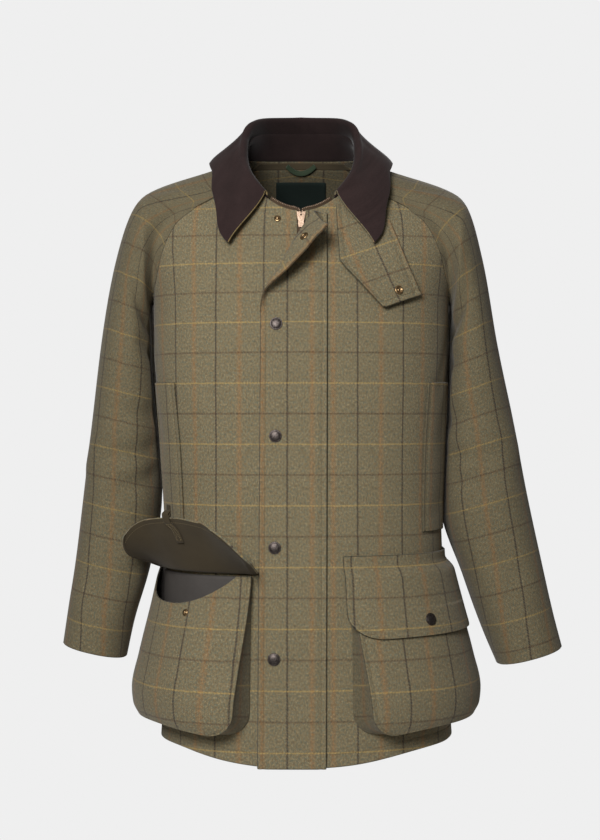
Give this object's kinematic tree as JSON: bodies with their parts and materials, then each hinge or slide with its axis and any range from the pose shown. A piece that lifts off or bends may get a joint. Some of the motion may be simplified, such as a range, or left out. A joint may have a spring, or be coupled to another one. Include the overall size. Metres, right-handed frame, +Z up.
{
  "type": "shooting coat",
  "caption": "Hip-length raglan shooting coat in checked tweed, worn form, hollow, with a dark collar, a zip under a snapped storm placket and bellows pockets, one flap held up.",
  "frame": {"origin": "between the shoulders at the level of the neck seam, where the wearer's shoulders carry the coat", "axes": "+Z up, front of the coat towards -Y, wearer's left towards +X"},
  "size_m": [0.696, 0.3837, 0.8976],
  "materials": {
    "tweed": "woven wool tweed with a windowpane check",
    "collar_cloth": "brushed dark brown cloth",
    "olive_cloth": "plain woven olive brown cloth",
    "pocket_nylon": "plain grey lining",
    "label_cloth": "bare dark green woven label",
    "loop_cord": "dark green cord",
    "zip_tape": "woven zip tape",
    "snap_metal": "antique dark metal",
    "brass": "satin",
    "copper": "copper coloured plating"
  },
  "bodies": {
    "coat": {"back_facing": "tweed", "back_panel": "tweed", "collar_leaf": "collar_cloth", "collar_stand": "collar_cloth", "front_stud": "brass", "hanger_loop": "loop_cord", "label": "label_cloth", "left_front": "tweed", "left_pocket_flap": "tweed", "left_pocket_front": "tweed", "left_pocket_gusset": "tweed", "left_pocket_snap": "snap_metal", "left_sleeve_back": "tweed", "left_sleeve_front": "tweed", "left_welt": "tweed", "left_zip_tape": "zip_tape", "neck_band": "olive_cloth", "placket": "tweed", "placket_snap_1": "snap_metal", "placket_snap_2": "snap_metal", "placket_snap_3": "snap_metal", "placket_snap_4": "snap_metal", "placket_socket": "brass", "right_flap_strap": "olive_cloth", "right_front": "tweed", "right_pocket_flap": "tweed", "right_pocket_front": "tweed", "right_pocket_gusset": "tweed", "right_pocket_lining": "pocket_nylon", "right_pocket_stud": "brass", "right_sleeve_back": "tweed", "right_sleeve_front": "tweed", "right_welt": "tweed", "right_zip_tape": "zip_tape", "throat_socket": "brass", "throat_tab": "tweed", "zip_slider": "copper"},
    "zip_pull": {"zip_pull_tab": "copper"}
  },
  "joints": [
    {"name": "zip_pull_hinge", "type": "hinge", "parent": "coat", "child": "zip_pull", "pos_m": [0, -0.09996, -0.06948], "axis": [-1, 0, 0], "range_deg": [0, 150]}
  ]
}
